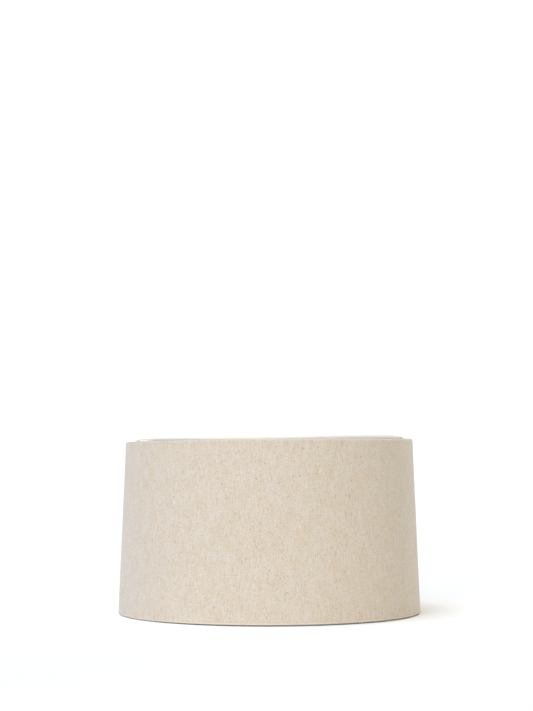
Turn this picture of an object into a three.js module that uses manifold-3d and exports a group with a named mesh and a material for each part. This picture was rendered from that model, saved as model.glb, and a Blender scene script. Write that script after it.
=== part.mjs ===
// A double drum lamp shade: a short tapered fabric shade with a second, slightly narrower one inside it.
// Each shade is a fabric cover on a stiff white film, and the cover is rolled over a wire ring at both
// rims. Three wire arms start at a pressed fitter ring, pass under the inner shade's top ring and end at
// the outer shade's top ring, so the inner rim stands one wire higher than the outer rim. A plastic
// reducer ring lies loose in the fitter ring, and narrows its hole for a smaller lampholder.
//
// Units are millimetres and +Z is up. The origin is on the axis, at the level of the outer lower rim.
import * as THREE from "three";
import { mergeVertices } from "three/addons/utils/BufferGeometryUtils.js";
import Module from "manifold-3d";

// Overall sizes
const overallHeight = 220; // lower rim of the outer shade to upper rim of the inner shade
const baseDiameter = 380; // outer shade, at its lower rim
const topDiameter = 362; // outer shade, at its upper rim
const shadeSpacing = 11.5; // from the outer shade's outside to the inner shade's outside
const innerLift = 5; // the inner shade's lower rim stays this far above the outer one

// Sheet and wire
const fabricThickness = 0.8;
const filmThickness = 0.5;
const tapeThickness = 0.3;
const ringWire = 2.5;
const armWire = 3.2;
const turnIn = 12; // depth of the fabric that is turned in behind each rim
const clearance = 0.3; // between neighbouring pieces

// Seam, tape and label
const seamSlit = 0.5;
const tapeWidth = 14;
const labelWidth = 36;
const labelHeight = 22;
const labelDrop = 30; // from the inner upper rim down to the label
const labelAngle = THREE.MathUtils.degToRad(60);

// Fitting
const armCount = 3;
const fitterDrop = 45; // from the inner upper rim down to the fitter ring's top face
const fitterHole = 42;
const fitterLand = 9.5; // from the hole to the ring's outside
const fitterPlate = 1.5;
const fitterCollar = 6; // height of the collar that the arms are welded to
const armLevelRun = 14; // level stretch of an arm beside the fitter ring
const armRimRun = 22; // level stretch of an arm inside the inner shade
const armBend = 9; // how far each bend reaches along the arm from its corner

// Reducer ring
const reducerHole = 29;
const reducerOverlap = 5; // how far the flange reaches over the fitter ring, past its hole
const reducerFlangeThickness = 1.5;
const reducerBossDepth = 3.5; // from the flange's seat down
const reducerSlack = 0.5; // radial play of the boss in the fitter ring's hole
const reducerLipWidth = 2.5;
const reducerLipHeight = 1.5;

// Facets
const shadeSegments = 48;
const fittingSegments = 36;
const wireSides = 8;
const armStep = 7; // length of an arm's facets
const rollFacets = 8; // in a full turn of the fabric's roll
const rollCorners = 5; // corners of the roll, from the wall to where it leaves the wire

// Derived sizes
const ringRadius = ringWire / 2;
const armRadius = armWire / 2;
const rollRadius = ringRadius + clearance + fabricThickness;
const filmDepth = fabricThickness + clearance; // from a shade's outside to its film
const turnInDepth = filmDepth + filmThickness + clearance;
const innerRise = ringRadius + clearance + armRadius;
const outerHeight = overallHeight - innerRise;
const armHeight = outerHeight - rollRadius;
const fitterTop = overallHeight - fitterDrop;
const fitterRadius = fitterHole / 2 + fitterLand;
const armStartHeight = fitterTop - fitterCollar / 2;
const seamAngle = Math.PI / 2;

// A shade's outside radius falls evenly from its lower rim to its upper rim.
const outerRadiusAt = (height) =>
  THREE.MathUtils.lerp(baseDiameter / 2, topDiameter / 2, height / outerHeight);

const outerShade = { bottom: 0, top: outerHeight, radiusAt: outerRadiusAt };
const innerShade = {
  bottom: innerLift,
  top: overallHeight,
  radiusAt: (height) => outerRadiusAt(height) - shadeSpacing,
};

// Material finishes
const finish = (color, roughness, metalness = 0) =>
  new THREE.MeshStandardMaterial({ color, roughness, metalness });
const linen = finish(0xded0bc, 0.95);
const film = finish(0xf1efea, 0.6);
const wire = finish(0xe9e8e4, 0.45, 0.3);
const tape = finish(0xf4f2ee, 0.5);
const label = finish(0xfafaf8, 0.55);
const plastic = finish(0xf3f2ee, 0.4);

// Solid modelling
const wasm = await Module();
wasm.setup();

function toSolid(geometry) {
  const bare = geometry.clone().deleteAttribute("normal").deleteAttribute("uv");
  const merged = mergeVertices(bare, 1e-3);
  return new wasm.Manifold(
    new wasm.Mesh({
      numProp: 3,
      vertProperties: merged.attributes.position.array,
      triVerts: new Uint32Array(merged.index.array),
    }),
  );
}

function toGeometry(solid) {
  const mesh = solid.getMesh();
  return new THREE.BufferGeometry()
    .setAttribute("position", new THREE.BufferAttribute(mesh.vertProperties, 3))
    .setIndex(new THREE.BufferAttribute(mesh.triVerts, 1));
}

function cut(geometry, tools) {
  const subtract = (solid, tool) => solid.subtract(toSolid(tool));
  return toGeometry(tools.reduce(subtract, toSolid(geometry)));
}

const common = (a, b) => toGeometry(toSolid(a).intersect(toSolid(b)));

// Turns a closed outline of (radius, height) points about the Z axis.
function revolve(outline, segments) {
  const closed = [...outline, outline[0]];
  return new THREE.LatheGeometry(closed, segments).rotateX(Math.PI / 2);
}

// A point of a shade's wall section, from its depth behind the outside face.
const wallPoint = (shade, depth, height) =>
  new THREE.Vector2(shade.radiusAt(height) - depth, height);

// A layer of a shade's wall, between two depths and two heights.
function wallLayer(shade, depth, thickness, from, to) {
  return revolve(
    [
      wallPoint(shade, depth, from),
      wallPoint(shade, depth, to),
      wallPoint(shade, depth + thickness, to),
      wallPoint(shade, depth + thickness, from),
    ],
    shadeSegments,
  );
}

// A box that runs outwards from the axis at an angle, right through the walls.
function radialBox(width, from, to, angle) {
  const reach = baseDiameter;
  return new THREE.BoxGeometry(reach, width, to - from)
    .translate(reach / 2, 0, (from + to) / 2)
    .rotateZ(angle);
}

// One side of the fabric's roll round a rim's wire, from the wall over the rim and back to the wall.
// Its facets touch a circle of the given radius, and it ends at the given depth behind the outside.
function rollSide(rimHeight, up, radius, endDepth) {
  const centre = rimHeight - up * rollRadius;
  const facetTurn = (2 * Math.PI) / rollFacets;
  const reach = radius / Math.cos(facetTurn / 2);
  const corners = Array.from({ length: rollCorners }, (_, i) => {
    const turn = (i + 0.5) * facetTurn;
    return [rollRadius - reach * Math.cos(turn), centre + up * reach * Math.sin(turn)];
  });
  const [lastDepth, lastHeight] = corners.at(-1);
  corners.push([endDepth, lastHeight - up * (lastDepth - endDepth)]);
  corners.push([endDepth, rimHeight - up * turnIn]);
  return corners;
}

// The section of a cover: its wall, and at both rims the roll and the turned-in edge.
function coverOutline(shade) {
  const faceOf = (rim, up) => rollSide(rim, up, rollRadius, turnInDepth + fabricThickness);
  const backOf = (rim, up) => rollSide(rim, up, ringRadius + clearance, turnInDepth);
  return [
    ...faceOf(shade.top, 1),
    ...backOf(shade.top, 1).reverse(),
    ...backOf(shade.bottom, -1),
    ...faceOf(shade.bottom, -1).reverse(),
  ].map(([depth, height]) => wallPoint(shade, depth, height));
}

// The slit between the seam's two edges, which runs past both rims.
const seamSlitBox = (shade) =>
  radialBox(seamSlit, shade.bottom - turnIn, shade.top + turnIn, seamAngle);

// Arms
const armAngles = Array.from(
  { length: armCount },
  (_, i) => seamAngle + Math.PI + (i * 2 * Math.PI) / armCount,
);
const armStart = fitterRadius + clearance;
const outerWireRadius = outerRadiusAt(armHeight) - rollRadius;
const armEnd = outerWireRadius - ringRadius - clearance;

// The hole that an arm needs in a wall, as far out as the given radius.
function armSlot(angle, toRadius) {
  const side = armWire + 2 * clearance;
  const length = toRadius - armStart;
  return new THREE.BoxGeometry(length, side, side)
    .translate(armStart + length / 2, 0, armHeight)
    .rotateZ(angle);
}

// Level at the fitter ring, up along a slope, and level again under the inner shade's ring.
function armPath() {
  const at = (radius, height) => new THREE.Vector3(radius, 0, height);
  const start = at(armStart, armStartHeight);
  const lowCorner = at(armStart + armLevelRun, armStartHeight);
  const highCorner = at(innerShade.radiusAt(armHeight) - armRimRun, armHeight);
  const end = at(armEnd, armHeight);
  const towards = (from, to) =>
    from.clone().add(to.clone().sub(from).setLength(armBend));
  const beforeLow = towards(lowCorner, start);
  const afterLow = towards(lowCorner, highCorner);
  const beforeHigh = towards(highCorner, lowCorner);
  const afterHigh = towards(highCorner, end);
  const path = new THREE.CurvePath();
  path.add(new THREE.LineCurve3(start, beforeLow));
  path.add(new THREE.QuadraticBezierCurve3(beforeLow, lowCorner, afterLow));
  path.add(new THREE.LineCurve3(afterLow, beforeHigh));
  path.add(new THREE.QuadraticBezierCurve3(beforeHigh, highCorner, afterHigh));
  path.add(new THREE.LineCurve3(afterHigh, end));
  return path;
}

function armGeometry(angle) {
  const section = new THREE.Shape().absarc(0, 0, armRadius, 0, 2 * Math.PI);
  const path = armPath();
  return new THREE.ExtrudeGeometry(section, {
    extrudePath: path,
    steps: Math.ceil(path.getLength() / armStep),
    curveSegments: wireSides / 2, // a shape's arc gets two facets for each
  }).rotateZ(angle);
}

// Pieces of one shade
function coverGeometry(shade, slots) {
  return cut(revolve(coverOutline(shade), shadeSegments), [seamSlitBox(shade), ...slots]);
}

function filmGeometry(shade, slots) {
  const inset = rollRadius + ringRadius + clearance;
  const sheet = wallLayer(shade, filmDepth, filmThickness, shade.bottom + inset, shade.top - inset);
  return cut(sheet, [seamSlitBox(shade), ...slots]);
}

function rimWireGeometry(shade, rimHeight, up) {
  const height = rimHeight - up * rollRadius;
  return new THREE.TorusGeometry(
    shade.radiusAt(height) - rollRadius,
    ringRadius,
    wireSides,
    shadeSegments,
  ).translate(0, 0, height);
}

// A strip that lies on the inside of a shade's film.
function stripGeometry(shade, angle, width, from, to) {
  const layer = wallLayer(shade, turnInDepth, tapeThickness, from, to);
  return common(layer, radialBox(width, from, to, angle));
}

function seamTapeGeometry(shade) {
  const inset = turnIn + clearance;
  return stripGeometry(shade, seamAngle, tapeWidth, shade.bottom + inset, shade.top - inset);
}

function labelGeometry() {
  const top = overallHeight - labelDrop;
  return stripGeometry(innerShade, labelAngle, labelWidth, top - labelHeight, top);
}

// Fitting pieces
function fitterGeometry() {
  const hole = fitterHole / 2;
  const collarInside = fitterRadius - fitterPlate;
  return revolve(
    [
      new THREE.Vector2(hole, fitterTop - fitterPlate),
      new THREE.Vector2(collarInside, fitterTop - fitterPlate),
      new THREE.Vector2(collarInside, fitterTop - fitterCollar),
      new THREE.Vector2(fitterRadius, fitterTop - fitterCollar),
      new THREE.Vector2(fitterRadius, fitterTop),
      new THREE.Vector2(hole, fitterTop),
    ],
    fittingSegments,
  );
}

function reducerGeometry() {
  const hole = reducerHole / 2;
  const boss = fitterHole / 2 - reducerSlack;
  const flange = fitterHole / 2 + reducerOverlap;
  const lip = hole + reducerLipWidth;
  const seat = fitterTop + clearance;
  const face = seat + reducerFlangeThickness;
  return revolve(
    [
      new THREE.Vector2(hole, seat - reducerBossDepth),
      new THREE.Vector2(boss, seat - reducerBossDepth),
      new THREE.Vector2(boss, seat),
      new THREE.Vector2(flange, seat),
      new THREE.Vector2(flange, face),
      new THREE.Vector2(lip, face),
      new THREE.Vector2(lip, face + reducerLipHeight),
      new THREE.Vector2(hole, face + reducerLipHeight),
    ],
    fittingSegments,
  );
}

// Assembly
const lampShade = new THREE.Group();

function place(parent, name, geometry, material) {
  const mesh = new THREE.Mesh(geometry, material);
  mesh.name = name;
  parent.add(mesh);
}

function buildShade(prefix, shade, coverSlots, filmSlots) {
  const group = new THREE.Group();
  place(group, `${prefix}_cover`, coverGeometry(shade, coverSlots), linen);
  place(group, `${prefix}_film`, filmGeometry(shade, filmSlots), film);
  place(group, `${prefix}_top_ring`, rimWireGeometry(shade, shade.top, 1), wire);
  place(group, `${prefix}_bottom_ring`, rimWireGeometry(shade, shade.bottom, -1), wire);
  place(group, `${prefix}_seam_tape`, seamTapeGeometry(shade), tape);
  lampShade.add(group);
}

// An arm passes right through the inner shade, and through the inner half of the outer shade's roll.
const outerSlots = armAngles.map((angle) => armSlot(angle, outerWireRadius));
const innerSlots = armAngles.map((angle) => armSlot(angle, armEnd));
buildShade("outer", outerShade, outerSlots, []);
buildShade("inner", innerShade, innerSlots, innerSlots);
place(lampShade, "blank_label", labelGeometry(), label);
armAngles.forEach((angle, i) => {
  place(lampShade, `arm_${i + 1}`, armGeometry(angle), wire);
});
place(lampShade, "fitter_ring", fitterGeometry(), wire);
place(lampShade, "reducer_ring", reducerGeometry(), plastic);

export default lampShade;
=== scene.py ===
"""A double drum lamp shade in natural linen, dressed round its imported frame.

Every place comes from the frame's boxes. The values below are what the boxes don't hold, in metres.
A wall is drawn as a section of (depth, height) points, depth being how far a point lies behind the
wall's outside, and the section is then turned round the axis.
"""
import math

import bpy
import numpy as np
from mathutils import Matrix, Vector


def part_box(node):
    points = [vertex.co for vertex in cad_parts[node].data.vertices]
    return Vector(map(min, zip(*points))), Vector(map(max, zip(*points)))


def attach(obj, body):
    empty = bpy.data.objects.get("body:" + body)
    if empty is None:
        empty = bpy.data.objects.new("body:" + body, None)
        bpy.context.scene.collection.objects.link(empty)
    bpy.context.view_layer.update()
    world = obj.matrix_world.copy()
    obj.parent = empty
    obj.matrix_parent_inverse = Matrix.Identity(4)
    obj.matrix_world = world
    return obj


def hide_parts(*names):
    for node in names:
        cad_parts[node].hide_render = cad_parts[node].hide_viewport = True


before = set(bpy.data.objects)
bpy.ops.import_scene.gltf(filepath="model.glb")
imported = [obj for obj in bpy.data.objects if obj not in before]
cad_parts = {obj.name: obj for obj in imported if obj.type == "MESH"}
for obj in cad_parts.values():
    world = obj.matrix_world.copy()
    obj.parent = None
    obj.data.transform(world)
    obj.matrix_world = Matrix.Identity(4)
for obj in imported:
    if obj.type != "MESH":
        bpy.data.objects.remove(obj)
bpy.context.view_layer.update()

MM = 0.001

# Sheets
FABRIC = 0.75 * MM
FILM = 0.5 * MM
FILM_BACK = 1.4 * MM  # depth of the film's inner side
TURN_IN_BACK = 1.75 * MM  # depth of the inner side of the turned-in fabric
GAP = 0.06 * MM  # between layers that are glued together
TURN_IN = 12 * MM  # from a rim to the turned-in fabric's raw edge
FOLD_BACK = math.radians(225)  # how far round the wire the fabric follows it
FILM_CREST = math.radians(102)  # where on the wire the film over it ends
FILM_COVER = 1.5 * MM  # how far the film reaches past the turned-in fabric's edge
FILM_EASE = 2.5 * MM  # from there to where the film lies on the wall again
FILM_RIPPLE = 0.06 * MM
RIM_RIPPLE = 0.05 * MM
RAW_EDGE_WANDER = 0.5 * MM
TAPE = 0.25 * MM
TAPE_CORNER = 0.8 * MM
LABEL_SIZE = (36 * MM, 22 * MM)
LABEL_CORNER = 3 * MM

# Seam, at the back
SEAM_ANGLE = math.radians(90)
SEAM_LAP = 12 * MM
SEAM_FOLD = 0.5 * MM  # radius of the lap's folded edge
SEAM_FADE = 7 * MM  # stretch in which the fabric settles beside the lap
SEAM_COLUMNS = (-1.2, -0.5, -0.15, -0.03, 0, 0.05, 0.15, 0.3, 0.5, 0.8)  # in mm, from the folded edge
LAP_START = 1.5 * MM  # from here on the lap's columns are even
LAP_COLUMNS = 16

# Painted light on the linen, from -1 for painted shade to 1 for painted highlight
UPPER_RIM_SHADE_REACH = 12 * MM  # from the upper rim down, where painted shade darkens the linen
UPPER_RIM_SHADE = -0.17  # painted shade at the upper rim's crest
FULL_PAINTED_LIGHT = 0.8  # how much of the thread's own colour the full painted highlight and painted shade hide

# How far out of true the shade stands. A wave is its count round the rim, its height and its crest's angle.
OUTER_WAVES = ((1, 2.4 * MM, math.radians(-24)), (2, 0.8 * MM, math.radians(59)))
INNER_WAVES = ((1, 3.6 * MM, math.radians(44)), (3, 0.8 * MM, math.radians(42)))
INNER_SINK = 0.8 * MM
# A lift is a local rise: its height, its middle's angle, and how far it reaches to each side.
HEM_LIFT = (1.5 * MM, math.radians(-70), math.radians(140))
INNER_LIFT = (0.9 * MM, math.radians(-36), math.radians(42))

# Arms and fitting
ARMS = 3
ARM_FOOT_DEPTH = 0.5 * MM  # into the fitter ring's collar
ARM_TIP_DEPTH = 0.3 * MM  # into the outer rim's wire
ARM_LEVEL_RUN = 14 * MM
ARM_RIM_RUN = 22 * MM
ARM_BEND = 12 * MM
WELD_LENGTH = 2.6 * MM
WELD_DEPTH = 0.6 * MM  # into the collar
WELD_SWELL = 0.75 * MM
FITTER_HOLE = 42 * MM
FITTER_PLATE = 1.5 * MM
REDUCER_HOLE = 29 * MM
REDUCER_BOSS = 41 * MM
REDUCER_FLANGE_FACE = 1.5 * MM  # below the lip's top
REDUCER_SEAT = 3 * MM  # below the lip's top
REDUCER_LIP = 2.5 * MM
GROOVE_WIDTH = 1.2 * MM  # from its middle to its edge
GROOVE_DEPTH = 0.35 * MM

# Fineness
COLUMNS = 384
WALL_ROWS = 44
ARC_STEPS = 20
HIDDEN_ARC_STEPS = 9
HIDDEN_ROW_STEP = 6  # a layer's hidden side has one row in this many
WIRE_SIDES = 16
WIRE_COLUMNS = 160
FITTING_COLUMNS = 144
BEND_STEPS = 12
ARM_SPACING = 2.5 * MM
WELD_RINGS = 12

# Light. A sun is its name, the way from the shade to it, its strength, its spread and its tint.
SKY_LEFT = (0.455, 0.535, 0.725, 1.0)
SKY_RIGHT = (0.455, 0.395, 0.24, 1.0)
SEEN_WHITE = 1.1  # the strength of the white that the camera sees all round
SUNS = (
    ("overhead", (-0.12, -0.1, 1.0), 1.42, math.radians(34), (1.0, 1.0, 1.0)),
    ("key", (-0.23, -0.9, 0.45), 1.26, math.radians(50), (1.0, 1.0, 1.0)),
    ("back", (0.5, 1.0, 0.15), 0.95, math.radians(10), (1.0, 0.94, 0.82)),
)
FLOOR_SIZE = 14.0
FLOOR_CELLS = 8

# Camera, as fitted to the view: level with the upper rim, and tilted up a little
EYE = Vector((-0.0033, -2.498, 0.2227))
EYE_TILT = math.radians(2.332)
EYE_ROLL = math.radians(-0.06)
FOCAL_LENGTH = 99.73 * MM
SENSOR = 36 * MM
CLIP_END = 50


# ---- Sizes read from the frame ----

def wire_circle(node):
    """(radius, height) of the circle that the middle of a rim's wire follows."""
    low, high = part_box(node)
    wire = high.z - low.z
    return (high.x - low.x - wire) / 2, (high.z + low.z) / 2


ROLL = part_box("outer_cover")[1].z - wire_circle("outer_top_ring")[1]


class Shade:
    """One of the two shades: its rims and its tapering outside."""

    def __init__(self, name):
        self.name = name
        self.low_radius, self.low_height = wire_circle(f"{name}_bottom_ring")
        self.high_radius, self.high_height = wire_circle(f"{name}_top_ring")
        self.bottom = self.low_height - ROLL
        self.top = self.high_height + ROLL

    def radius(self, height):
        """The outside radius at a height, or at an array of heights."""
        share = (height - self.low_height) / (self.high_height - self.low_height)
        return self.low_radius + share * (self.high_radius - self.low_radius) + ROLL


OUTER = Shade("outer")
INNER = Shade("inner")


# ---- Mesh building ----

def waves(angle, share_out, rim_waves):
    """The rise at an angle, for a share of the way from the axis out to an uneven rim."""
    rise = 0.0
    for count, height, crest in rim_waves:
        rise = rise + height * share_out**count * np.cos(count * (angle - crest))
    return rise


def local_rise(angle, lift):
    """The rise of a rim at an angle where it is lifted over a part of the way round."""
    height, middle, reach = lift
    share = np.abs(np.mod(angle - middle + math.pi, 2 * math.pi) - math.pi) / reach
    return height * np.cos(np.clip(share, 0, 1) * math.pi / 2) ** 2


def settle(points):
    """Moves points of the true shape to where the real, slightly uneven shade has them."""
    x, y, z = points.T
    angle = np.arctan2(y, x)
    distance = np.hypot(x, y)
    wall = OUTER.radius(z)
    spacing = OUTER.high_radius - INNER.high_radius
    gap_middle = wall - spacing / 2 - ROLL
    inner_share = np.clip(0.5 + (gap_middle - distance) / spacing, 0, 1)
    outer_rise = waves(angle, np.clip(distance / wall, 0, 1), OUTER_WAVES)
    share_out = np.clip(distance / (wall - spacing), 0, 1)
    inner_rise = waves(angle, share_out, INNER_WAVES) - INNER_SINK
    inner_rise = inner_rise + local_rise(angle, INNER_LIFT) * share_out**4
    rise = outer_rise + (inner_rise - outer_rise) * inner_share
    share_up = np.clip(z / OUTER.top, 0, 1.05)
    lift = local_rise(angle, HEM_LIFT) * (1 - share_up) ** 2
    return np.stack([x, y, z + share_up * rise + lift], 1)


def ripple(angle, orders):
    """An uneven wave round the axis, of about unit height, from a few whole numbers of waves."""
    parts = [np.cos(order * angle + order**2 * 0.7) for order in orders]
    return sum(parts) / len(parts)


def make_object(name, points, faces, material, cloth=None):
    """A mesh object, with the cloth's (across, along, painted light) values at each face corner if given.
    """
    mesh = bpy.data.meshes.new(name)
    mesh.from_pydata(points.tolist(), [], faces)
    if cloth is not None:
        layer = mesh.attributes.new("cloth", "FLOAT_VECTOR", "CORNER")
        layer.data.foreach_set("vector", cloth.astype(np.float32).ravel())
    mesh.validate()
    mesh.update()
    mesh.shade_smooth()
    mesh.materials.append(material)
    piece = bpy.data.objects.new(name, mesh)
    bpy.context.scene.collection.objects.link(piece)
    return piece


def sweep_faces(columns, rows):
    """The quads of a closed section of so many rows that is turned through so many columns."""
    column, row = np.meshgrid(np.arange(columns), np.arange(rows), indexing="ij")
    column, row = column.ravel(), row.ravel()
    next_column, next_row = (column + 1) % columns, (row + 1) % rows
    return np.stack(
        [
            column * rows + row,
            next_column * rows + row,
            next_column * rows + next_row,
            column * rows + next_row,
        ],
        1,
    )


def turn_section(name, angles, radius, height, material, along=None, painted_light=None):
    """Turns a closed section round the axis. radius and height are (columns, rows) arrays.

    For cloth, along and painted_light hold each row's way along the section and its painted highlight and
    shade.
    """
    columns, rows = radius.shape
    wide = np.repeat(angles[:, None], rows, 1)
    points = np.stack([radius * np.cos(wide), radius * np.sin(wide), height], 2)
    faces = sweep_faces(columns, rows)
    cloth = None
    if along is not None:
        mean_radius = radius.mean()
        across = mean_radius * np.append(angles, angles[0] + 2 * math.pi)
        column, row = faces[:, 0] // rows, faces[:, 0] % rows
        length = np.append(along, along[-1] + 2 * (along[-1] - along[-2]))
        left, right = across[column], across[column + 1]
        low, high = length[row], length[row + 1]
        near, far = (low, painted_light[row]), (high, painted_light[(row + 1) % rows])
        corners = [(left, *near), (right, *near), (right, *far), (left, *far)]
        cloth = np.stack([np.stack(corner, 1) for corner in corners], 1)
    return make_object(name, settle(points.reshape(-1, 3)), faces.tolist(), material, cloth)


def fillet(corners, steps=5):
    """A closed outline from (x, y, rounding radius) corners, with an arc at each rounded one."""
    outline = []
    for i, (x, y, rounding) in enumerate(corners):
        here = Vector((x, y))
        before = Vector(corners[i - 1][:2]) - here
        after = Vector(corners[(i + 1) % len(corners)][:2]) - here
        if rounding == 0:
            outline.append(here)
            continue
        half = before.angle(after) / 2
        inward = (before.normalized() + after.normalized()).normalized()
        middle = here + inward * rounding / math.sin(half)
        reach = rounding / math.tan(half)
        first = here + before.normalized() * reach - middle
        last = here + after.normalized() * reach - middle
        for step in range(steps + 1):
            outline.append(middle + first.lerp(last, step / steps).normalized() * rounding)
    return outline


def turn_outline(name, outline, columns, material):
    """Turns a closed outline of (radius, height) points round the axis."""
    outline = np.array(outline)
    angles = np.linspace(0, 2 * math.pi, columns, endpoint=False)
    radius = np.repeat(outline[None, :, 0], columns, 0)
    height = np.repeat(outline[None, :, 1], columns, 0)
    return turn_section(name, angles, radius, height, material)


def tube(name, path, radii, material, sides=WIRE_SIDES):
    """A closed tube along points that lie in one upright plane, with a radius at each."""
    path = np.array(path)
    ahead = np.gradient(path, axis=0)
    ahead /= np.linalg.norm(ahead, axis=1)[:, None]
    level = np.cross(path[-1] - path[0], (0, 0, 1))
    level /= np.linalg.norm(level)
    upward = np.cross(level, ahead)
    turn = np.linspace(0, 2 * math.pi, sides, endpoint=False)[None, :, None]
    around = level[None, None] * np.cos(turn) + upward[:, None] * np.sin(turn)
    points = path[:, None] + around * np.array(radii)[:, None, None]
    rings = len(path)
    faces = []
    for ring in range(rings - 1):
        for side in range(sides):
            a, b = ring * sides + side, ring * sides + (side + 1) % sides
            faces.append((a, b, b + sides, a + sides))
    faces.append(tuple(reversed(range(sides))))
    faces.append(tuple(range((rings - 1) * sides, rings * sides)))
    return make_object(name, settle(points.reshape(-1, 3)), faces, material)


# ---- Materials ----

class Tree:
    """A short way to write a material's nodes."""

    def __init__(self, name, roughness):
        self.material = bpy.data.materials.new(name)
        self.material.use_nodes = True
        self.nodes = self.material.node_tree.nodes
        self.links = self.material.node_tree.links
        self.shader = self.nodes["Principled BSDF"]
        self.shader.inputs["Roughness"].default_value = roughness

    def put(self, socket, value):
        if isinstance(value, bpy.types.NodeSocket):
            self.links.new(value, socket)
        else:
            socket.default_value = value

    def node(self, kind, inputs, **settings):
        made = self.nodes.new(kind)
        for key, value in settings.items():
            setattr(made, key, value)
        for key, value in inputs.items():
            self.put(made.inputs[key], value)
        return made

    def math(self, operation, *values):
        return self.node("ShaderNodeMath", dict(enumerate(values)), operation=operation).outputs[0]

    def vector(self, operation, inputs):
        return self.node("ShaderNodeVectorMath", inputs, operation=operation).outputs[0]

    def cloth(self):
        """The ways across and along the cloth in millimetres, and its painted highlight and shade."""
        place = self.node("ShaderNodeAttribute", {}, attribute_name="cloth").outputs["Vector"]
        across, along, painted_light = self.node("ShaderNodeSeparateXYZ", {0: place}).outputs
        return self.math("MULTIPLY", across, 1000), self.math("MULTIPLY", along, 1000), painted_light

    def place(self):
        """The point in the object's own space, in metres."""
        return self.node("ShaderNodeTexCoord", {}).outputs["Object"]

    def join(self, x, y, z=0.0):
        return self.node("ShaderNodeCombineXYZ", {0: x, 1: y, 2: z}).outputs[0]

    def noise(self, vector, scale=1.0, detail=2.0, roughness=0.5):
        inputs = {"Vector": vector, "Scale": scale, "Detail": detail, "Roughness": roughness}
        return self.node("ShaderNodeTexNoise", inputs).outputs[0]

    def streaks(self, x, y, width, length, seed, detail=2.0):
        """Noise that is narrow across and long along, with sizes in millimetres."""
        across = self.math("DIVIDE", x, width)
        along = self.math("DIVIDE", y, length)
        return self.noise(self.join(across, along, seed), detail=detail)

    def spread(self, value, low, high, to_low=0.0, to_high=1.0):
        """A smooth step from to_low to to_high, as the value goes from low to high."""
        inputs = {0: value, 1: low, 2: high, 3: to_low, 4: to_high}
        return self.node("ShaderNodeMapRange", inputs, interpolation_type="SMOOTHSTEP").outputs[0]

    def mix(self, factor, first, second):
        made = self.nodes.new("ShaderNodeMix")
        made.data_type = "RGBA"
        for index, value in ((0, factor), (6, first), (7, second)):
            self.put(made.inputs[index], value)
        return made.outputs[2]

    def mix_value(self, factor, first, second):
        return self.node("ShaderNodeMix", {0: factor, 2: first, 3: second}).outputs[0]

    def bump(self, height, distance, strength=1.0):
        inputs = {"Height": height, "Distance": distance, "Strength": strength}
        self.put(self.shader.inputs["Normal"], self.node("ShaderNodeBump", inputs).outputs[0])

    def set(self, **values):
        """Sets the shader's own sockets, spaces in their names written as _."""
        for key, value in values.items():
            self.put(self.shader.inputs[key.replace("_", " ")], value)
        return self.material


def color(red, green, blue):
    """A colour for a socket, with its full opacity."""
    return (red, green, blue, 1.0)


LINEN_DARK = color(0.64, 0.495, 0.325)
LINEN_LIGHT = color(0.745, 0.71, 0.66)
LINEN_HUSK = color(0.42, 0.25, 0.105)
LINEN_GREY = color(0.54, 0.505, 0.445)
LINEN_WARM = color(1.04, 1.0, 0.96)
LINEN_COOL = color(0.96, 1.0, 1.04)
LINEN_PAINTED_HIGHLIGHT = color(0.90, 0.77, 0.61)  # painted highlight, half way round the lower rim's wire
LINEN_PAINTED_SHADE = color(0.15, 0.135, 0.12)  # painted shade under the lower rim, where the shade stands, and towards the upper rim's crest


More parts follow.
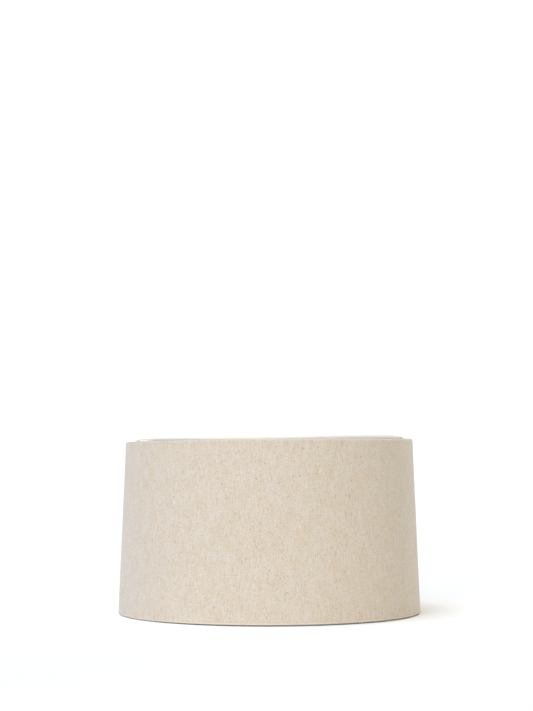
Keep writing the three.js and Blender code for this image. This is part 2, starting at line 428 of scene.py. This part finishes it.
def linen_material():
    """Plain weave of uneven natural threads, with slubs along them and specks of husk."""
    tree = Tree("linen", 0.92)
    pitch = 0.66  # millimetres from thread to thread
    tone_length = 2.6  # millimetres in which a thread changes its tone
    x, y, painted_light = tree.cloth()
    drift = tree.streaks(x, y, 9, 16, 3.1)
    x = tree.math("ADD", x, tree.math("MULTIPLY", drift, 1.1))
    sag = tree.streaks(x, y, 18, 8, 8.4)
    y = tree.math("ADD", y, tree.math("MULTIPLY", sag, 1.1))
    warp_count = tree.math("DIVIDE", x, pitch)
    weft_count = tree.math("DIVIDE", y, pitch)
    warp_index = tree.math("FLOOR", warp_count)
    weft_index = tree.math("FLOOR", weft_count)

    def crown(count):
        return tree.math("SINE", tree.math("MULTIPLY", tree.math("FRACT", count), math.pi))

    warp_crown, weft_crown = crown(warp_count), crown(weft_count)
    parity = tree.math("FLOORED_MODULO", tree.math("ADD", warp_index, weft_index), 2.0)
    warp_over = tree.math("MULTIPLY", warp_crown, tree.math("MULTIPLY_ADD", weft_crown, 0.5, 0.5))
    weft_over = tree.math("MULTIPLY", weft_crown, tree.math("MULTIPLY_ADD", warp_crown, 0.5, 0.5))
    weave = tree.mix_value(parity, warp_over, weft_over)

    # Each thread has its own tone, which changes every few millimetres along it.
    def thread_tone(index, along):
        thread = tree.math("MULTIPLY", index, 3.7)
        return tree.noise(tree.join(thread, tree.math("DIVIDE", along, tone_length)), detail=1.0)

    warp_tone = thread_tone(warp_index, y)
    weft_tone = thread_tone(weft_index, x)
    # The cloth's tone is a sum of noises, each with its weight.
    parts = (
        (tree.mix_value(parity, warp_tone, weft_tone), 0.34),
        (tree.streaks(x, y, 0.9, 1.5, 21.7, 1.0), 0.30),
        (tree.streaks(x, y, 1.1, 17, 37.1), 0.33),
        (tree.streaks(x, y, 10, 1.3, 47.9), 0.11),
        (tree.streaks(x, y, 13, 20, 63.3), 0.12),
    )
    tone = 0.0
    for part, weight in parts:
        tone = tree.math("MULTIPLY_ADD", part, weight, tone)
    shade = tree.spread(tone, 0.37, 0.83)
    base = tree.mix(shade, LINEN_DARK, LINEN_LIGHT)

    # Specks of brown husk and of grey
    husk = tree.spread(tree.streaks(x, y, 1.1, 2.9, 5.5, 1.0), 0.62, 0.75, 0.0, 0.55)
    grey = tree.spread(tree.streaks(x, y, 1.0, 1.8, 90.2, 1.0), 0.58, 0.74, 0.0, 0.40)
    base = tree.mix(grey, base, LINEN_GREY)
    base = tree.mix(husk, base, LINEN_HUSK)
    # Painted highlight and painted shade on the rims, then the tint that varies from thread to thread, and
    # painted shade in the hollows between the threads, a little lighter on their crowns
    base = tree.mix(tree.spread(painted_light, 0.0, 1.0, 0.0, FULL_PAINTED_LIGHT), base, LINEN_PAINTED_HIGHLIGHT)
    base = tree.mix(tree.spread(painted_light, 0.0, -1.0, 0.0, FULL_PAINTED_LIGHT), base, LINEN_PAINTED_SHADE)
    coolness = tree.spread(tree.streaks(x, y, 1.1, 1.9, 71.4, 1.0), 0.35, 0.65)
    tint = tree.mix(coolness, LINEN_WARM, LINEN_COOL)
    base = tree.vector("MULTIPLY", {0: base, 1: tint})
    painted_weave_shade = tree.spread(weave, 0.0, 0.55, 0.84, 1.03)
    base = tree.vector("SCALE", {0: base, "Scale": painted_weave_shade})

    height = tree.math("MULTIPLY_ADD", tree.spread(tone, 0.5, 0.66), 0.5, weave)
    height = tree.math("MULTIPLY_ADD", tree.streaks(x, y, 0.12, 0.5, 12.0), 0.35, height)
    tree.bump(height, 0.18 * MM, 0.7)
    return tree.set(
        Base_Color=base,
        Sheen_Weight=0.5,
        Sheen_Roughness=0.28,
        Sheen_Tint=color(0.97, 0.98, 1.0),
        Specular_IOR_Level=0.25,
    )


def film_material():
    """Matt white laminated film: faint rolling marks, with the weave just showing through."""
    tree = Tree("film", 0.5)
    place = tree.place()
    broad = tree.noise(place, 9.0, 3.0)
    fine = tree.noise(place, 900.0, 3.0, 0.6)
    base = tree.mix(broad, color(0.80, 0.77, 0.725), color(0.86, 0.83, 0.785))
    height = tree.math("ADD", tree.math("MULTIPLY", fine, 0.5), tree.math("MULTIPLY", broad, 2.0))
    tree.bump(height, 0.06 * MM, 0.7)
    rough = tree.spread(fine, 0.3, 0.7, 0.42, 0.58)
    return tree.set(Base_Color=base, Roughness=rough, Specular_IOR_Level=0.4)


def tape_material():
    """Thin white woven tape, a little glossier than the film behind it."""
    tree = Tree("tape", 0.4)
    place = tree.place()
    fine = tree.noise(place, 1400.0, 2.0)
    broad = tree.noise(place, 60.0, 3.0)
    base = tree.mix(broad, color(0.80, 0.785, 0.74), color(0.90, 0.89, 0.86))
    tree.bump(tree.math("ADD", fine, tree.math("MULTIPLY", broad, 1.5)), 0.08 * MM, 0.6)
    return tree.set(Base_Color=base, Roughness=tree.spread(broad, 0.3, 0.7, 0.30, 0.48))


def label_material():
    """Smooth blank paper sticker with a faint fibre."""
    tree = Tree("label", 0.45)
    place = tree.place()
    fibre = tree.noise(place, 700.0, 4.0, 0.7)
    base = tree.mix(fibre, color(0.86, 0.86, 0.85), color(0.94, 0.94, 0.93))
    tree.bump(fibre, 0.03 * MM, 0.5)
    return tree.set(Base_Color=base, Coat_Weight=0.25, Coat_Roughness=0.3)


def wire_material():
    """White powder coat with its orange-peel surface, over drawn wire and pressed steel."""
    tree = Tree("wire", 0.38)
    place = tree.place()
    peel = tree.noise(place, 620.0, 2.0)
    dust = tree.noise(place, 70.0, 4.0, 0.6)
    base = tree.mix(dust, color(0.74, 0.735, 0.72), color(0.83, 0.83, 0.815))
    tree.bump(peel, 0.12 * MM, 0.6)
    rough = tree.spread(dust, 0.3, 0.7, 0.33, 0.46)
    return tree.set(Base_Color=base, Roughness=rough, Coat_Weight=0.15)


def plastic_material():
    """White moulded plastic with fine spark texture."""
    tree = Tree("plastic", 0.4)
    place = tree.place()
    spark = tree.noise(place, 1800.0, 2.0)
    cloud = tree.noise(place, 45.0, 3.0)
    base = tree.mix(cloud, color(0.80, 0.785, 0.745), color(0.86, 0.85, 0.82))
    tree.bump(spark, 0.05 * MM, 0.5)
    return tree.set(Base_Color=base, Roughness=tree.spread(spark, 0.3, 0.7, 0.34, 0.46))


MATERIALS = {
    "linen": linen_material(),
    "film": film_material(),
    "tape": tape_material(),
    "label": label_material(),
    "wire": wire_material(),
    "plastic": plastic_material(),
}


def fit(piece, body, slot, *nodes):
    """Puts a piece on its body, in place of the frame's nodes that it stands for."""
    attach(piece, body)
    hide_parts(*nodes)


# ---- Walls ----

def column_angles(radius):
    """Even columns round the axis from the seam's edge on, with close ones where the seam is."""
    even = np.linspace(0, 2 * math.pi, COLUMNS, endpoint=False)
    folds = np.array(SEAM_COLUMNS) * MM / radius
    lap = np.linspace(LAP_START, SEAM_LAP + SEAM_FADE, LAP_COLUMNS) / radius
    close = np.concatenate([folds, lap])
    clear = (even > close[-1]) & (even < close[0] + 2 * math.pi)
    return SEAM_ANGLE + np.concatenate([close, even[clear]])


def lap_relief(angles, radius, thickness):
    """How far the top layer stands out at the seam: a folded edge, a lap, and a soft run-out."""
    arc = (angles - SEAM_ANGLE)[:, None] * radius
    fold = np.sqrt(np.clip(1 - (1 - np.clip(arc / SEAM_FOLD, 0, 1)) ** 2, 0, 1))
    out = np.clip((SEAM_LAP + SEAM_FADE - arc) / SEAM_FADE, 0, 1)
    return thickness * np.where(arc <= 0, 0, fold) * out * out * (3 - 2 * out)


def hook(rim, up, radius, end_depth, reach, steps, start=0.0):
    """A layer's path over a rim's wire to its edge, as rows of depth, height and the way out."""
    centre = rim - up * ROLL
    path = []
    for turn in np.linspace(start, FOLD_BACK, steps):
        out_depth, out_height = -math.cos(turn), up * math.sin(turn)
        path.append((ROLL + radius * out_depth, centre + radius * out_height, out_depth, out_height))
    last_depth, last_height = path[-1][:2]
    meet = last_height - up * (last_depth - end_depth)
    edge = rim - up * reach
    for share in (0.0, 0.3, 0.6, 0.85, 1.0):
        path.append((end_depth, meet + (edge - meet) * share, 1.0, 0.0))
    return path


def both_hooks(shade, *shape):
    """The same path over the lower and the upper rim, each from the wall on."""
    return hook(shade.bottom, -1, *shape), hook(shade.top, 1, *shape)


def turn_wall(shade, kind, angles, section, relief, wander, along=None, painted_light=None):
    """Turns a wall's closed section of depth, height and the way out, with relief along it."""
    depth, height, out_depth, out_height = section.T
    wide_depth = depth + relief * out_depth
    wide_height = np.maximum(height + relief * out_height + wander, 0.0)
    radius = shade.radius(wide_height) - wide_depth
    name = f"{shade.name}_{kind}"
    material = MATERIALS[kind.split("_")[0]]
    return turn_section(name, angles, radius, wide_height, material, along, painted_light)


def build_cover(shade):
    """The fabric: lapped at the seam, rolled over both wires, and turned in behind the film."""
    heights = np.linspace(shade.low_height, shade.high_height, WALL_ROWS)[1:-1]
    low, high = both_hooks(shade, ROLL, TURN_IN_BACK, TURN_IN, ARC_STEPS)
    face = low[::-1] + [(0.0, h, -1.0, 0.0) for h in heights] + high
    low, high = both_hooks(shade, ROLL - FABRIC, TURN_IN_BACK - FABRIC, TURN_IN, HIDDEN_ARC_STEPS)
    back = low[::-1] + [(FABRIC, h, 0.0, 0.0) for h in heights[::HIDDEN_ROW_STEP]] + high
    back = [(depth, height, 0.0, 0.0) for depth, height, *_ in back]
    section = np.array(face + back[::-1])
    angles = column_angles(shade.low_radius)
    pressed = (1 - section[:, 2]) / 2
    over = np.abs(section[:, 3])
    relief = lap_relief(angles, shade.low_radius, FABRIC) * pressed
    relief = relief + RIM_RIPPLE * ripple(angles, (37, 59, 101))[:, None] * over
    # The raw edges wander a little.
    raw = np.zeros(len(section))
    raw[[0, -1]] = 1.0
    raw[[len(face) - 1, len(face)]] = -1.0
    wander = raw * RAW_EDGE_WANDER * ripple(angles, (17, 43, 109, 233))[:, None]
    step = np.hypot(np.diff(section[:, 0]), np.diff(section[:, 1]))
    along = np.concatenate([[0], np.cumsum(step)])
    # Painted light on the lower rim: a painted highlight half way round its wire, and painted shade
    # underneath where it stands.
    painted_highlight = 4 * over * (1 - over)
    painted_shade = np.clip(4 * over - 3, 0, 1)
    # Painted shade, darker towards the upper rim's crest.
    near_upper_rim = np.clip(1 - (shade.top - section[:, 1]) / UPPER_RIM_SHADE_REACH, 0, 1)
    painted_light = np.where(section[:, 3] < 0, painted_highlight - painted_shade, UPPER_RIM_SHADE * near_upper_rim)
    cover = turn_wall(shade, "linen_cover", angles, section, relief, wander, along, painted_light)
    fit(cover, "shade", "linen", f"{shade.name}_cover")
    declare_cloth(shade)


def declare_cloth(shade):
    """Works out the cover's middle radius and taper: the cover is cut as a sector of a wide ring, because
    the shade tapers.
    """
    mid = shade.radius((shade.bottom + shade.top) / 2)
    taper = (shade.radius(shade.bottom) - shade.radius(shade.top)) / (shade.top - shade.bottom)


def build_film(shade):
    """The white film that lines the cover and its turned-in edges, up to the crest of each rim."""
    hem = TURN_IN + FILM_COVER
    inset = hem + FILM_EASE
    heights = np.linspace(shade.bottom + inset, shade.top - inset, WALL_ROWS)
    roll, depth = ROLL + GAP, TURN_IN_BACK + GAP
    low, high = both_hooks(shade, roll + FILM, depth + FILM, hem, ARC_STEPS, FILM_CREST)
    face = low + [(FILM_BACK, h, 1.0, 0.0) for h in heights] + high[::-1]
    low, high = both_hooks(shade, roll, depth, hem, ARC_STEPS, FILM_CREST)
    hidden = [(FILM_BACK - FILM, h, 0.3, 0.0) for h in heights[::HIDDEN_ROW_STEP]]
    back = low + hidden + high[::-1]
    section = np.array(face + back[::-1])
    angles = column_angles(shade.low_radius)
    pressed = (1 - section[:, 2]) / 2
    relief = lap_relief(angles, shade.low_radius, FILM) * (1 - pressed)
    relief = relief + lap_relief(angles, shade.low_radius, FABRIC) * pressed
    relief = relief + FILM_RIPPLE * ripple(angles, (23, 41, 67))[:, None] * (1 - pressed)
    film = turn_wall(shade, "film_lining", angles, section, relief, 0.0)
    fit(film, "shade", "film", f"{shade.name}_film")


def build_rim_wire(shade, which, radius, height):
    """The wire ring inside a rim's rolled fabric."""
    node = f"{shade.name}_{which}_ring"
    low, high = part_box(node)
    wire = (high.z - low.z) / 2
    turn = np.linspace(0, 2 * math.pi, WIRE_SIDES, endpoint=False)
    outline = np.stack([radius + wire * np.cos(turn), height + wire * np.sin(turn)], 1)
    ring = turn_outline(f"{shade.name}_{which}_rim_wire", outline, WIRE_COLUMNS, MATERIALS["wire"])
    fit(ring, "shade", "wire", node)


def build_strip(name, shade, angle, size, middle, depth, corner, material):
    """A thin strip with rounded corners, on the inside of a wall. middle is its middle's height."""
    width, length = size
    straight = width / 2 - corner
    rounded = width / 2 - corner * (1 - np.cos(np.linspace(0, math.pi / 2, 7)))
    middle_part = np.linspace(-straight, straight, 9)[1:-1]
    across = np.concatenate([-rounded, middle_part, rounded[::-1]])
    past = np.clip(np.abs(across) - straight, 0, corner)
    half = length / 2 - (corner - np.sqrt(np.clip(corner**2 - past**2, 0, None)))
    rows = np.linspace(-1, 1, 30)
    height = middle + half[:, None] * rows[None, :]
    arc = np.repeat(across[:, None], len(rows), 1)
    layers, columns, count = [], len(across), len(rows)
    for layer_depth in (depth, depth + TAPE):
        radius = shade.radius(height) - layer_depth
        turn = angle + arc / radius
        layers.append(np.stack([radius * np.cos(turn), radius * np.sin(turn), height], 2))
    points = np.concatenate(layers).reshape(-1, 3)
    base = columns * count
    faces = []
    for i in range(columns - 1):
        for j in range(count - 1):
            a, b = i * count + j, (i + 1) * count + j
            faces.append((a, b, b + 1, a + 1))
            faces.append((base + a, base + a + 1, base + b + 1, base + b))
    rim = [(i, 0) for i in range(columns)]
    rim += [(columns - 1, j) for j in range(1, count)]
    rim += [(i, count - 1) for i in range(columns - 2, -1, -1)]
    rim += [(0, j) for j in range(count - 2, 0, -1)]
    ids = [i * count + j for i, j in rim]
    for a, b in zip(ids, ids[1:] + ids[:1]):
        faces.append((b, a, base + a, base + b))
    return make_object(name, settle(points), faces, material)


def build_seam_tape(shade):
    """The tape over the film's seam, where the film's relief is one layer high."""
    low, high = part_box(f"{shade.name}_seam_tape")
    size = (high.x - low.x, high.z - low.z)
    middle = (low.z + high.z) / 2
    depth = FILM_BACK + FILM + GAP
    name = f"{shade.name}_woven_seam_tape"
    material = MATERIALS["tape"]
    tape = build_strip(name, shade, SEAM_ANGLE, size, middle, depth, TAPE_CORNER, material)
    fit(tape, "shade", "tape", f"{shade.name}_seam_tape")


def build_label():
    """The sticker inside the inner shade, clear of the film's ripples."""
    low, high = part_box("blank_label")
    middle = (low + high) / 2
    angle = math.atan2(middle.y, middle.x)
    depth = FILM_BACK + 4 * GAP
    name = "blank_paper_label"
    material = MATERIALS["label"]
    label = build_strip(name, INNER, angle, LABEL_SIZE, middle.z, depth, LABEL_CORNER, material)
    fit(label, "shade", "label", "blank_label")


# ---- Arms and fitting ----

def bent_path(corners, bend, spacing):
    """Points along straight stretches that are joined by smooth bends."""
    corners = [Vector(c) for c in corners]
    path = [corners[0]]
    for before, here, after in zip(corners, corners[1:], corners[2:]):
        first = here + (before - here).normalized() * bend
        last = here + (after - here).normalized() * bend
        for step in range(BEND_STEPS + 1):
            share = step / BEND_STEPS
            path.append(first.lerp(here, share).lerp(here.lerp(last, share), share))
    path.append(corners[-1])
    filled = [path[0]]
    for here, there in zip(path, path[1:]):
        pieces = max(1, math.ceil((there - here).length / spacing))
        filled += [here.lerp(there, (i + 1) / pieces) for i in range(pieces)]
    return filled


def build_arm(index):
    """A wire arm from the fitter's collar up and out to both upper rims, and its weld."""
    low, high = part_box("arm_1")  # which runs along -Y
    wire = (high.x - low.x) / 2
    start, end = -high.y, -low.y
    low_height, high_height = low.z + wire, high.z - wire
    angle = SEAM_ANGLE + math.pi + index * 2 * math.pi / ARMS

    def radial(points):
        return [(r * math.cos(angle), r * math.sin(angle), z) for r, z in points]

    corners = [
        (start - ARM_FOOT_DEPTH, low_height),
        (start + ARM_LEVEL_RUN, low_height),
        (INNER.radius(high_height) - ARM_RIM_RUN, high_height),
        (end + ARM_TIP_DEPTH, high_height),
    ]
    path = radial(bent_path(corners, ARM_BEND, ARM_SPACING))
    arm = tube(f"spider_arm_{index + 1}", path, [wire] * len(path), MATERIALS["wire"])
    fit(arm, "shade", "wire", f"arm_{index + 1}")
    # The weld is a bead round the arm's foot, fullest at the collar.
    shares = np.linspace(0, 1, WELD_RINGS)
    bead_path = radial((start - WELD_DEPTH + share * WELD_LENGTH, low_height) for share in shares)
    bead_radii = wire + WELD_SWELL * np.cos(shares * math.pi / 2)
    bead = tube(f"weld_{index + 1}", bead_path, bead_radii, MATERIALS["wire"])
    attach(bead, "shade")


def build_fitter():
    """The pressed ring that the lampholder clamps: a collar with a flat plate inside its top."""
    low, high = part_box("fitter_ring")
    rim, hole, top = high.x, FITTER_HOLE / 2, high.z
    inside = rim - FITTER_PLATE
    corners = [
        (hole, top - FITTER_PLATE, 0.5 * MM),
        (inside, top - FITTER_PLATE, 0.6 * MM),
        (inside, low.z, 0.4 * MM),
        (rim, low.z, 0.4 * MM),
        (rim, top, 1.4 * MM),
        (hole, top, 0.6 * MM),
    ]
    outline = fillet(corners)
    fitter = turn_outline("pressed_fitter_ring", outline, FITTING_COLUMNS, MATERIALS["wire"])
    fit(fitter, "shade", "wire", "fitter_ring")


def build_reducer():
    """The loose plastic ring: a boss in the fitter's hole, a grooved flange on it, and a lip."""
    low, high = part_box("reducer_ring")
    hole, boss, flange = REDUCER_HOLE / 2, REDUCER_BOSS / 2, high.x
    face, seat = high.z - REDUCER_FLANGE_FACE, high.z - REDUCER_SEAT
    lip = hole + REDUCER_LIP
    groove = (lip + flange) / 2
    corners = [
        (hole, low.z, 0.4 * MM),
        (boss, low.z, 0.5 * MM),
        (boss, seat, 0.2 * MM),
        (flange, seat, 0.5 * MM),
        (flange, face, 0.7 * MM),
        (groove + GROOVE_WIDTH, face, 0.15 * MM),
        (groove + GROOVE_WIDTH / 2, face - GROOVE_DEPTH, 0.15 * MM),
        (groove - GROOVE_WIDTH / 2, face - GROOVE_DEPTH, 0.15 * MM),
        (groove - GROOVE_WIDTH, face, 0.15 * MM),
        (lip, face, 0.5 * MM),
        (lip, high.z, 0.5 * MM),
        (hole, high.z, 0.4 * MM),
    ]
    outline = fillet(corners)
    reducer = turn_outline("moulded_reducer_ring", outline, FITTING_COLUMNS, MATERIALS["plastic"])
    fit(reducer, "reducer", "plastic", "reducer_ring")


# ---- Setting ----

def floor_material():
    """Bright matt white paper, with a trace of unevenness."""
    tree = Tree("floor", 0.9)
    cloud = tree.noise(tree.place(), 3.0)
    base = tree.mix(cloud, color(0.91, 0.925, 0.94), color(0.93, 0.945, 0.96))
    return tree.set(Base_Color=base, Specular_IOR_Level=0.0)


def build_floor():
    grid = np.linspace(-FLOOR_SIZE / 2, FLOOR_SIZE / 2, FLOOR_CELLS + 1)
    points = np.array([(x, y, 0.0) for x in grid for y in grid])
    side = len(grid)
    faces = []
    for i in range(FLOOR_CELLS):
        for j in range(FLOOR_CELLS):
            corner = i * side + j
            faces.append((corner, corner + side, corner + side + 1, corner + 1))
    floor = make_object("floor", points, faces, floor_material())


def build_world():
    """Soft light from all round, brighter and cooler on the left, which the camera sees as white."""
    world = bpy.data.worlds.new("studio")
    bpy.context.scene.world = world
    world.use_nodes = True
    nodes, links = world.node_tree.nodes, world.node_tree.links
    nodes.clear()
    way = nodes.new("ShaderNodeTexCoord").outputs["Generated"]
    split = nodes.new("ShaderNodeSeparateXYZ")
    links.new(way, split.inputs[0])
    share_right = nodes.new("ShaderNodeMapRange")
    share_right.inputs["From Min"].default_value = -1.0
    links.new(split.outputs[0], share_right.inputs["Value"])
    sky = nodes.new("ShaderNodeMix")
    sky.data_type = "RGBA"
    sky.inputs[6].default_value = SKY_LEFT
    sky.inputs[7].default_value = SKY_RIGHT
    links.new(share_right.outputs[0], sky.inputs[0])
    lighting = nodes.new("ShaderNodeBackground")
    links.new(sky.outputs[2], lighting.inputs["Color"])
    seen = nodes.new("ShaderNodeBackground")
    seen.inputs["Color"].default_value = color(1, 1, 1)
    seen.inputs["Strength"].default_value = SEEN_WHITE
    rays = nodes.new("ShaderNodeLightPath").outputs["Is Camera Ray"]
    chosen = nodes.new("ShaderNodeMixShader")
    links.new(rays, chosen.inputs[0])
    links.new(lighting.outputs[0], chosen.inputs[1])
    links.new(seen.outputs[0], chosen.inputs[2])
    links.new(chosen.outputs[0], nodes.new("ShaderNodeOutputWorld").inputs[0])


def add_soft_sun(name, toward, strength, spread, tint):
    """Even light from a far, wide source. toward points from the shade to the source."""
    light = bpy.data.lights.new(name, "SUN")
    light.energy = strength
    light.angle = spread
    light.color = tint
    lamp = bpy.data.objects.new(name, light)
    lamp.rotation_euler = Vector(toward).to_track_quat("Z", "Y").to_euler()
    bpy.context.scene.collection.objects.link(lamp)


def build_camera():
    """Looks along +Y from the eye, tilted and rolled a little."""
    camera = bpy.data.cameras.new("view")
    camera.lens = FOCAL_LENGTH / MM
    camera.sensor_width = SENSOR / MM
    camera.clip_end = CLIP_END
    eye = bpy.data.objects.new("view", camera)
    ahead = Matrix.Rotation(math.pi / 2 + EYE_TILT, 4, "X") @ Matrix.Rotation(EYE_ROLL, 4, "Z")
    eye.matrix_world = Matrix.Translation(EYE) @ ahead
    bpy.context.scene.collection.objects.link(eye)
    bpy.context.scene.camera = eye


def build_shade(shade):
    build_cover(shade)
    build_film(shade)
    build_rim_wire(shade, "bottom", shade.low_radius, shade.low_height)
    build_rim_wire(shade, "top", shade.high_radius, shade.high_height)
    build_seam_tape(shade)


build_camera()
build_world()
for sun in SUNS:
    add_soft_sun(*sun)
build_floor()
build_shade(OUTER)
build_shade(INNER)
build_label()
for arm_index in range(ARMS):
    build_arm(arm_index)
build_fitter()
build_reducer()
bpy.context.scene.view_settings.view_transform = "Standard"
